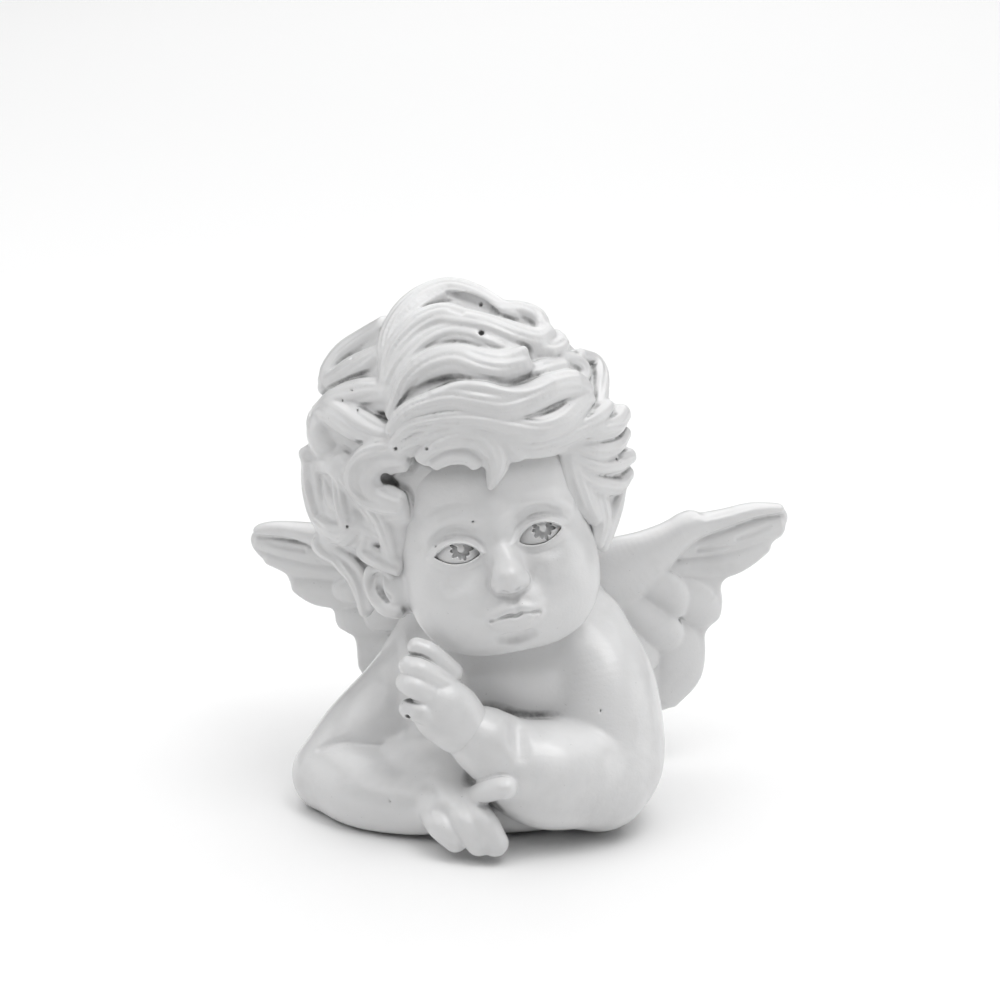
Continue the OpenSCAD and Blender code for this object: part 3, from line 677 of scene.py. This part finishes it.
def on_shell(bearing, polar, lift=0.0):
    """A point of the hair's round form, in degrees: bearing from +X to +Y and polar from the crown."""
    b, p = math.radians(bearing), math.radians(polar)
    d = np.array([math.sin(p) * math.cos(b), math.sin(p) * math.sin(b), math.cos(p)])
    lean = turn_matrix((-CROWN[1], CROWN[0], 0))
    d = lean @ d
    return SHELL_AT + d / np.linalg.norm(d / (SHELL + lift))


def back_locks():
    out = []
    for t, (count, first, last, top, end, wide, high, wave) in enumerate(TIERS):
        for k in range(count):
            wobble = math.sin(12.9 * k + 7.1 * t)
            other = math.sin(5.3 * k + 2.9 * t + 1.0)
            bearing = first + (last - first) * (k + 0.5) / count + 3 * wobble
            start, stop = top + 3 * other, end + 5 * wobble
            hand = 1 if t % 2 else -1
            stations = []
            for j in range(7):
                f = j / 6
                polar = start + (stop - start) * f
                narrow = max(math.sin(math.radians(polar)), 0.35)
                swing = hand * wave * math.sin(math.pi * (1.5 * f + 0.15 * other)) / narrow
                size = math.sin(math.pi * min(0.12 + 0.8 * f, 0.97)) ** 0.6
                lift = 0.5 + 0.7 * math.sin(math.pi * f) + 0.3 * other
                p = on_shell(bearing + swing * (0.6 + 0.4 * f), polar, lift)
                stations.append((*p, wide * size, high * size))
            out.append(("back%d_%d" % (t, k), 4 if t < 2 else 3, stations))
    return out


# the locks that stand this far clear of the forehead and cheek
FORWARD_BY = 1.3
FORWARD = ("l_ring", "l_ring_in", "q_low", "q_low_lip", "q_brow", "q_edge", "q_rim", "hook", "hook_in")


def hair_clay(low, high, cell):
    c = Clay(low, high, cell)
    c.egg((0, -2, 10.5), (23, 18.5, 23.5), soft=4)
    c.egg((-3, 6, 3), (26.5, 24.5, 26.5), soft=4)
    c.egg((-13, 1, 8), (16.5, 15, 19.5), soft=4)
    c.egg((14, -1, 6), (12.5, 13, 14.5), soft=4)
    c.egg((-2, 13, -14), (18, 12, 14), soft=5)
    c.egg((-19.5, 2, -1), (11.5, 11.5, 13.0), soft=4)
    c.egg((-17.5, 3, -13), (9.5, 9.5, 11.0), soft=4)
    c.egg((-27.0, -5.4, 13.5), (4.6, 4.0, 5.4), soft=3)
    locks = []
    for name, strands, stations in LOCKS + back_locks():
        s = np.array(stations)
        if name in FORWARD:
            s[:, :3] += FORWARD_BY * off_skull(s[:, :3])
        locks.append((strands, s))
    # a wider, sunken bed under each lock closes the gaps between them
    for strands, s in locks:
        bed = s.copy()
        bed[:, :3] -= off_skull(s[:, :3]) * s[:, 4:]
        bed[:, 3] *= 1.65
        c.lock(bed, off_skull, soft=1.2)
    for k, (strands, s) in enumerate(locks):
        c.lock(s, off_skull, soft=0.6, strands=strands, groove=0.42, phase=0.17 * k)
    for hollow in HOLLOWS:
        c.limb(hollow, 0.5, "cut")
    for scoop in SCOOPS:
        skin = [front(c, x, z) for x, z, r in scoop]
        if min(skin) > c.low[1] + 0.6:
            c.limb([(x, y, z + 0.2, r) for (x, z, r), y in zip(scoop, skin)], 0.5, "cut")
    for x, z, r in HAIR_PITS:
        pit(c, x, z, r)
    return c


# the dark middle of the ring curl: [x, y, z, radius]
HOLLOWS = [
    [(-18, -19.2, 3, 0.9), (-17.8, -15.5, 2.8, 1), (-17, -15.5, 1.4, 0.9)],
]
# spatula marks on top of the quiff, [x, z, radius] on the hair that faces the viewer
SCOOPS = [
    [(0.4, 34, 0.5), (2.8, 32.6, 1.3), (5.6, 30.6, 1.4), (8.2, 28.6, 0.6)],
    [(0.4, 30.8, 0.4), (2.2, 29.9, 0.6)],
]
# pinholes, [x, z, radius]
HAIR_PITS = [(4.9, 25.4, 0.5), (6, 30.9, 0.28), (-19.8, 26.4, 0.28), (-20.8, 20.2, 0.25), (-23, 18.8, 0.22),
             (-20.4, 16.4, 0.25), (-14.7, 8, 0.32), (-9.1, 6.7, 0.3), (24.8, -2.4, 0.3), (-27.2, -4.4, 0.28)]


# ---- Wings, in their own frame: +X outwards from the root and +Z up ----

LEFT_EDGE = [(0, 6), (6.1, 8.1), (11.5, 8.9), (16.5, 10.8), (19.5, 12.6), (22.2, 13.3), (24.4, 12.3),
             (28.5, 13.1),
             (34.5, 14.1), (40, 13.6), (42.2, 12.2), (42.9, 10), (41.6, 7.2), (39.2, 4), (36, 0.9),
             (32.4, -1.5),
             (29.6, -3.2), (29.9, -6.9), (29.2, -10.6), (26.6, -13.4), (26.5, -16.8), (25.7, -23.3),
             (21.9, -27.7),
             (17.7, -30.4), (11, -30), (4, -22), (-3, -14), (-6, -6), (-5, 2)]
LEFT_ARM = [(2, 0, -1, 7.6, 4.4), (8, -0.4, 1.2, 7.4, 4.2), (13, -0.8, 4.4, 5.6, 3.8),
            (17.5, -1.1, 7.4, 3.9, 3.4),
            (22, -1.2, 10.2, 3.1, 3), (28.5, -1, 11.3, 2, 2.5), (34.5, -0.6, 12.6, 1.6, 2.1),
            (40.2, -0.1, 12.6, 1.1, 1.6)]
# feathers: stations [x, y, z, half width, half thickness], back ones first
LEFT_FEATHERS = [
    [(13, 0.6, 1.8, 2.4, 2), (22, 0.6, 1.2, 3.1, 2), (31, 0.5, 1.8, 3.3, 1.8), (37.4, 0.4, 4.8, 2.8, 1.4)],
    [(14, 0.2, 5.6, 2.6, 2), (24, 0.2, 6.2, 3.4, 2.1), (34, 0.2, 8, 3.6, 1.9), (40.4, 0.2, 8.8, 2.8, 1.4)],
    [(6, 0.9, -12, 4, 2.1), (11, 0.9, -19, 5, 2), (12, 0.9, -25, 4.4, 1.8), (11, 0.9, -29, 3, 1.5)],
    [(13, 0.7, -10, 3.6, 2.2), (19.5, 0.6, -15, 5.6, 2.3), (20.4, 0.6, -21.5, 5.2, 2.1),
     (17.8, 0.6, -27.4, 3.4, 1.6)],
    [(14, 0.4, -2, 3.2, 2.1), (20, 0.3, -4.4, 4.4, 2.3), (24.2, 0.2, -7.6, 4.8, 2.1),
     (25.4, 0.2, -10.4, 3.6, 1.6)],
    [(5, -0.5, -8, 3.6, 2.2), (9, -0.7, -13.6, 4.4, 2.2), (12.4, -0.6, -17.4, 4.2, 2),
     (13.4, -0.5, -19.6, 2.8, 1.5)],
    [(8, -0.8, -4.5, 3.4, 2.2), (13.6, -1, -9, 4.2, 2.3), (17.2, -0.9, -12.8, 4, 2),
     (18.4, -0.8, -14.8, 2.8, 1.5)],
    [(9, -0.9, 1, 3, 2.2), (15, -1.1, -1.6, 3.8, 2.3), (18.2, -1.1, -5.2, 4, 2.1), (18.8, -1, -8, 2.8, 1.5)],
]
LEFT_LINES = [[(31.7, 6.9), (34.7, 7.9), (38, 9.2)], [(23.5, 5), (29, 5.2), (34, 5.8)],
              [(22, 1.6), (27, 0.6), (31.5, 0.8)]]
RIGHT_EDGE = [(0, 6), (6, 8), (14, 10), (22, 11.6), (29.3, 11.9), (34.3, 11.7), (40, 11.3), (43.2, 9.9),
              (45.2, 7.8),
              (45.4, 5.8), (44.4, 3.7), (41.6, 1.3), (37.6, -0.6), (36.3, -3), (33.2, -5.2), (29.8, -6.7),
              (27.2, -7.2),
              (26.7, -9.4), (25.5, -11.4), (22.6, -12.6), (22, -16.1), (21.6, -19.4), (18.4, -22.6),
              (12, -24.4),
              (4, -21), (-3, -14), (-6, -6), (-5, 2)]
RIGHT_ARM = [(2, 0, -1, 7.6, 4.4), (9, -0.4, 2.4, 6.8, 4.2), (16, -0.8, 5.6, 5, 3.8),
             (23, -1.1, 8.2, 3.6, 3.4),
             (30, -1.1, 9.7, 2.3, 2.9), (36, -0.8, 10, 1.8, 2.3), (42.6, -0.2, 9.2, 1.3, 1.7)]
RIGHT_FEATHERS = [
    [(14, 0.6, 1.6, 2.4, 2), (24, 0.6, 1.4, 2.8, 2), (33, 0.5, 1.8, 2.7, 1.8), (40.6, 0.4, 3, 2, 1.4)],
    [(14, 0.2, 5, 2.4, 2), (24, 0.2, 5.4, 3, 2.1), (34, 0.2, 5.6, 2.9, 1.9), (42.6, 0.2, 6.4, 2, 1.4)],
    [(3, 0.9, -14, 4, 2), (7, 0.9, -19, 4.6, 2), (11, 0.9, -21.4, 3.6, 1.6)],
    [(6, 0.8, -10, 3.8, 2.1), (13, 0.8, -13.4, 4.6, 2.1), (17.6, 0.8, -15.8, 4.2, 1.8),
     (19, 0.8, -17.6, 3, 1.5)],
    [(10, 0.6, -6, 3.4, 2.1), (17, 0.6, -7.4, 4.4, 2.2), (22.2, 0.5, -8.4, 4, 1.9),
     (24, 0.5, -8.8, 2.8, 1.5)],
    [(14, 0.4, -2, 3, 2.1), (24, 0.4, -2.6, 3.8, 2.2), (31, 0.3, -2.9, 3.7, 1.9),
     (34.4, 0.3, -2.6, 2.6, 1.5)],
    [(5, -0.5, -6, 3.6, 2.1), (9, -0.7, -10.4, 4, 2.1), (12, -0.6, -12.8, 2.8, 1.6)],
    [(8, -0.8, -3, 3.4, 2.1), (13, -1, -5.6, 3.8, 2.2), (17.4, -0.9, -7.2, 2.8, 1.6)],
    [(10, -0.9, 1, 3, 2.2), (17, -1.1, -0.4, 3.4, 2.2), (22, -1.1, -1.4, 3.2, 1.9),
     (24.4, -1, -1.9, 2.2, 1.5)],
]
RIGHT_LINES = [[(28.6, 3.7), (25, 3.2), (22.1, 2.6)], [(32, 6), (36, 6.2), (40, 6.6)],
               [(29, 0.2), (33, 0.4), (37, 1.4)]]


def facing_front(p):
    return np.tile([0.0, -1.0, 0.0], (len(p), 1))


def outline_distance(x, z, edge):
    """Signed distance in the wing's plane to a smooth closed outline, negative inside."""
    p = np.array(edge, float)
    ring = np.vstack([p[-1:], p, p[:2]])
    t = np.linspace(0, 1, 5)[:-1, None]
    pts = np.vstack([spline(ring, i, t) for i in range(1, len(ring) - 2)])
    near = np.full(x.shape, 1e9)
    inside = np.zeros(x.shape, bool)
    for a, b in zip(pts, np.roll(pts, -1, 0)):
        d = b - a
        u = np.clip(((x - a[0]) * d[0] + (z - a[1]) * d[1]) / max(d @ d, 1e-9), 0, 1)
        near = np.minimum(near, (x - a[0] - u * d[0]) ** 2 + (z - a[1] - u * d[1]) ** 2)
        crosses = (a[1] > z) != (b[1] > z)
        inside ^= crosses & (x < d[0] * (z - a[1]) / (d[1] if d[1] else 1e-9) + a[0])
    return np.where(inside, -1, 1) * np.sqrt(near)


def wing_clay(edge, arm, feathers, lines):
    c = Clay((-8, -8, -35), (48, 8, 18), 0.3)
    everywhere = (slice(None),) * 3
    x, z = np.meshgrid(c.axes[0], c.axes[2], indexing="ij")
    flat = outline_distance(x, z, edge).astype(np.float32)[:, None, :]
    y = c.axes[1][None, :, None]
    c.merge(everywhere, -smooth_min(-(flat + 0.6), -(np.abs(y - 0.6) - 1.2) + 0 * flat, 1.2), 0)
    c.egg((4, 0.4, -6), (9, 3.6, 12), soft=2)
    for f in feathers:
        c.lock(f, facing_front, soft=0.25)
    c.lock(arm, facing_front, soft=0.5)
    for line in lines:
        c.limb([(u, -1.8, w, 0.5) for u, w in line], 0.6, "cut")
    c.merge(everywhere, flat + 0 * y, 1, "keep")
    return c


# ---- Materials ----

def material(name):
    m = bpy.data.materials.new(name)
    m.use_nodes = True
    tree = m.node_tree
    return m, tree, tree.nodes["Principled BSDF"]


def settings(shader, values):
    for name, value in values.items():
        shader.inputs[name].default_value = value


def node(tree, kind, **values):
    """A node with its settings and the values of its named inputs."""
    n = tree.nodes.new(kind)
    for key, value in values.items():
        if key in n.inputs:
            n.inputs[key].default_value = value
        else:
            setattr(n, key, value)
    return n


def ramp(tree, source, low, high, to_low=0.0, to_high=1.0):
    """Stretches the range low..high of a value to to_low..to_high."""
    n = node(tree, "ShaderNodeMapRange")
    settings(n, {"From Min": low, "From Max": high, "To Min": to_low, "To Max": to_high})
    tree.links.new(source, n.inputs["Value"])
    return n.outputs["Result"]


def combine(tree, how, a, b):
    n = node(tree, "ShaderNodeMath", operation=how)
    for socket, value in zip(n.inputs, (a, b)):
        tree.links.new(value, socket)
    return n.outputs[0]


def blend(tree, factor, first, second):
    n = node(tree, "ShaderNodeMix", data_type="RGBA")
    tree.links.new(factor, n.inputs["Factor"])
    n.inputs[6].default_value = (*first, 1)
    n.inputs[7].default_value = (*second, 1)
    return n.outputs[2]


def noise(tree, place, scale, detail=3.0, rough=0.55):
    n = node(tree, "ShaderNodeTexNoise", Scale=scale, Detail=detail, Roughness=rough)
    tree.links.new(place, n.inputs["Vector"])
    return n.outputs["Fac"]


def bumps(tree, shader, layers):
    """Stacks bump nodes: (height, strength, distance in metres) from the coarsest."""
    last = None
    for height, strength, distance in layers:
        n = node(tree, "ShaderNodeBump", Strength=strength, Distance=distance)
        tree.links.new(height, n.inputs["Height"])
        if last:
            tree.links.new(last, n.inputs["Normal"])
        last = n.outputs["Normal"]
    tree.links.new(last, shader.inputs["Normal"])


def resin_material():
    m, tree, shader = material("white_resin")
    link = tree.links.new
    settings(shader, {"Subsurface Weight": 0.1, "Subsurface Radius": (1.0, 0.9, 0.8),
                      "Subsurface Scale": 0.001,
                      "Coat Weight": 0.45, "Coat Roughness": 0.12})
    place = node(tree, "ShaderNodeTexCoord").outputs["Object"]
    crease = node(tree, "ShaderNodeAttribute", attribute_name="crease").outputs["Fac"]
    # grey grime and painted shade: the creases are darkened by grime and by painted shade, in patches round
    # them
    patchy = ramp(tree, noise(tree, place, 240.0, 5.0, 0.65), 0.36, 0.6, 0.35, 1.0)
    # crease darkening: painted shade in the creases, mixed with grime
    deep = combine(tree, "MULTIPLY", ramp(tree, crease, 0.38, 0.8), patchy)
    clouds = ramp(tree, noise(tree, place, 55.0, 4.0, 0.6), 0.5, 0.72, 0.0, 0.16)
    specks = ramp(tree, noise(tree, place, 1900.0, 2.0, 0.5), 0.73, 0.78, 0.0, 0.35)
    thin = combine(tree, "MAXIMUM", clouds, specks)
    grime_and_crease_shade = combine(tree, "MAXIMUM", deep, thin)
    # base colour greyed by random mottling and specks, and by painted shade and grime in the creases
    link(blend(tree, grime_and_crease_shade, (0.74, 0.74, 0.742), (0.2, 0.2, 0.2)), shader.inputs["Base Color"])
    link(ramp(tree, combine(tree, "MAXIMUM", deep, noise(tree, place, 120.0)), 0.35, 0.8, 0.28, 0.5),
         shader.inputs["Roughness"])
    # orange peel of the paint and fine grain of the casting
    bumps(tree, shader, [(noise(tree, place, 420.0), 0.35, 0.0002),
                         (noise(tree, place, 1500.0, 3.0, 0.6), 0.35, 0.0001),
                         (noise(tree, place, 4200.0, 2.0, 0.6), 0.25, 0.00005)])
    return m


def steel_material():
    """Bright drawn rod: fine lines along the length, set by stretching the noise."""
    m, tree, shader = material("drawn_steel")
    shader.inputs["Metallic"].default_value = 1.0
    place = node(tree, "ShaderNodeTexCoord").outputs["Object"]
    drawn = node(tree, "ShaderNodeMapping")
    drawn.inputs["Scale"].default_value = (1.0, 1.0, 0.04)
    tree.links.new(place, drawn.inputs["Vector"])
    lines = noise(tree, drawn.outputs["Vector"], 9000.0, 3.0, 0.6)
    tree.links.new(blend(tree, lines, (0.66, 0.66, 0.68), (0.42, 0.42, 0.44)), shader.inputs["Base Color"])
    tree.links.new(ramp(tree, lines, 0.3, 0.7, 0.22, 0.42), shader.inputs["Roughness"])
    bumps(tree, shader, [(lines, 0.3, 0.00003)])
    return m


def felt_material():
    """Short-pile wool felt: matted fibres in two sizes, with painted shade between the clumps."""
    m, tree, shader = material("wool_felt")
    settings(shader, {"Roughness": 0.95, "Sheen Weight": 0.5, "Sheen Roughness": 0.5})
    place = node(tree, "ShaderNodeTexCoord").outputs["Object"]
    layers = []
    for turn in (0.4, 1.5, 2.6):
        laid = node(tree, "ShaderNodeMapping")
        laid.inputs["Rotation"].default_value = (0.0, 0.0, turn)
        laid.inputs["Scale"].default_value = (1.0, 0.12, 0.5)
        tree.links.new(place, laid.inputs["Vector"])
        layers.append(noise(tree, laid.outputs["Vector"], 5200.0, 4.0, 0.7))
    fibres = combine(tree, "MAXIMUM", combine(tree, "MAXIMUM", layers[0], layers[1]), layers[2])
    # lighter on the raised fibres, painted shade in the hollows between the clumps
    tree.links.new(blend(tree, ramp(tree, fibres, 0.45, 0.75), (0.06, 0.09, 0.07), (0.17, 0.21, 0.18)),
                   shader.inputs["Base Color"])
    bumps(tree, shader, [(noise(tree, place, 900.0), 0.4, 0.0002), (fibres, 0.8, 0.00015)])
    return m


def felt_clay():
    """The felt pad: two round ends and straight sides, with a matted, slightly uneven skin."""
    c = Clay((-19.5, -11.5, -1), (19.5, 11.5, 2.4), 0.2)
    x, y, z = np.meshgrid(*c.axes, indexing="ij")
    plan = np.sqrt(np.maximum(np.abs(x) - FELT_HALF, 0) ** 2 + y * y) - FELT_END
    tufts = 0.05 * (np.sin(5.1 * x + 2.3 * np.sin(3.7 * y)) + np.sin(4.3 * y + 2.9 * np.sin(4.9 * x)))
    slab = np.abs(z - FELT_THICK / 2) - FELT_THICK / 2
    out = np.sqrt(np.maximum(plan + 0.25, 0) ** 2 + np.maximum(slab + 0.25, 0) ** 2)
    c.d = (out + np.minimum(np.maximum(plan, slab) + 0.25, 0) - 0.15 + tufts).astype(np.float32)
    return c


# ---- The figurine ----

# blocks of clay: low corner, high corner and cell. Each front shell overlaps its back shell.
BUST_FRONT = ((-43, -36, -1), (36, -9.5, 52), 0.34)
BUST_BACK = ((-43, -13.2, -1), (36, 26, 60), 0.45)
HAIR_FRONT = ((-40, -31, -34), (34, 4, 42), 0.31)
HAIR_BACK = ((-40, 0.4, -38), (34, 38, 42), 0.42)
# about how deep the creases are that get darkened with grime and painted shade; the eyes' short reach paints
# shade into the iris strokes
EYE_REACH, HAIR_REACH, WING_REACH = 0.3, 1.3, 1.8
HEAD_PLACE = (HEAD_TURN, HEAD_AT)
# both wings sweep back, and the right one is mirrored from its own frame
SWEEP = turn_matrix((0, 0, 14))
LEFT_PLACE = (SWEEP, np.array([15.1, 14.2, 42.0]))
RIGHT_PLACE = (np.diag([-1.0, 1.0, 1.0]) @ SWEEP, np.array([-11.0, 17.0, 37.0]))

resin = resin_material()
steel = steel_material()
felt = felt_material()

castings = [
    (cast(bust_clay(*BUST_FRONT), "bust_casting_front", resin), "bust"),
    (cast(bust_clay(*BUST_BACK), "bust_casting_back", resin), "bust"),
    (cast(raised_hand_clay(), "raised_hand_casting", resin), "raised_hand"),
]
face, eyes = face_clay()
castings.append((cast(face, "head_face", resin, HEAD_PLACE), "head"))
for eye, side, name in zip(eyes, (-1, 1), ("eye_right", "eye_left")):
    # the iris strokes come out dark from painted shade
    castings.append((cast(eyeball_clay(eye, side), name, resin, HEAD_PLACE, EYE_REACH), "head"))
for block, name in ((HAIR_FRONT, "head_hair_front"), (HAIR_BACK, "head_hair_back")):
    castings.append((cast(hair_clay(*block), name, resin, HEAD_PLACE, HAIR_REACH), "head"))
left_wing = wing_clay(LEFT_EDGE, LEFT_ARM, LEFT_FEATHERS, LEFT_LINES)
right_wing = wing_clay(RIGHT_EDGE, RIGHT_ARM, RIGHT_FEATHERS, RIGHT_LINES)
castings.append((cast(left_wing, "left_wing_casting", resin, LEFT_PLACE, WING_REACH), "left_wing"))
castings.append((cast(right_wing, "right_wing_casting", resin, RIGHT_PLACE, WING_REACH), "right_wing"))
for piece, cad in castings:
    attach(piece, "root")
    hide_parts(cad)
pad = cast(felt_clay(), "felt_pad_pile", felt)
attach(pad, "root")
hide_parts("felt_pad")
for name in ("neck_dowel", "left_wing_dowel", "right_wing_dowel", "wrist_dowel"):
    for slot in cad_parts[name].material_slots:
        slot.material = steel


# ---- Floor, light and camera ----

FLOOR_HALF = 3.0
FIGURINE = (0, 0, 0.055)
# name, place, size and power of each light, and the spot it is aimed at
SOFTBOXES = [
    ("overhead", (0, 0, 1.6), 3.0, 42.0, FIGURINE),
    ("backdrop", (0, 2.6, 1.3), 2.6, 31.0, (0, 2.6, 0)),
    ("key", (0.35, -0.25, 1.1), 0.5, 2.9, FIGURINE),
    ("upper_left", (-0.8, -0.5, 0.9), 0.7, 1.0, FIGURINE),
    ("left", (-1.1, 0, 0.35), 0.7, 1.6, FIGURINE),
    ("right", (1.1, 0, 0.35), 0.7, 2.2, FIGURINE),
]
# the viewing angle in degrees, and the distance from the spot the camera looks at
AZIMUTH, ELEVATION, DISTANCE = 5, 17, 0.454
LOOK_AT = Vector((0, 0, 0.062))


def floor_plane():
    mesh = bpy.data.meshes.new("floor")
    s = FLOOR_HALF
    mesh.from_pydata([(-s, -s, 0), (s, -s, 0), (s, s, 0), (-s, s, 0)], [], [(0, 1, 2, 3)])
    m, tree, shader = material("pale_floor")
    settings(shader, {"Base Color": (0.9, 0.9, 0.9, 1), "Roughness": 0.9})
    mesh.materials.append(m)
    obj = bpy.data.objects.new("floor", mesh)
    bpy.context.scene.collection.objects.link(obj)


def aim(obj, target):
    obj.rotation_mode = "QUATERNION"
    obj.rotation_quaternion = (obj.location - Vector(target)).to_track_quat("Z", "Y")


def softbox(name, place, size, power, target):
    light = bpy.data.lights.new(name, "AREA")
    light.shape, light.size, light.energy = "SQUARE", size, power
    obj = bpy.data.objects.new(name, light)
    bpy.context.scene.collection.objects.link(obj)
    obj.location = place
    aim(obj, target)


def studio():
    bpy.context.scene.view_settings.view_transform = "Standard"
    floor_plane()
    for light in SOFTBOXES:
        softbox(*light)
    world = bpy.data.worlds.new("studio")
    world.use_nodes = True
    settings(world.node_tree.nodes["Background"], {"Color": (1, 1, 1, 1), "Strength": 0.02})
    bpy.context.scene.world = world


def camera():
    cam = bpy.data.cameras.new("camera")
    cam.lens, cam.sensor_width = 85, 36
    cam.clip_start, cam.clip_end = 0.01, 20
    obj = bpy.data.objects.new("camera", cam)
    bpy.context.scene.collection.objects.link(obj)
    az, el = math.radians(AZIMUTH), math.radians(ELEVATION)
    line = Vector((math.sin(az) * math.cos(el), -math.cos(az) * math.cos(el), math.sin(el)))
    obj.location = LOOK_AT + DISTANCE * line
    aim(obj, LOOK_AT)
    bpy.context.scene.camera = obj


studio()
camera()
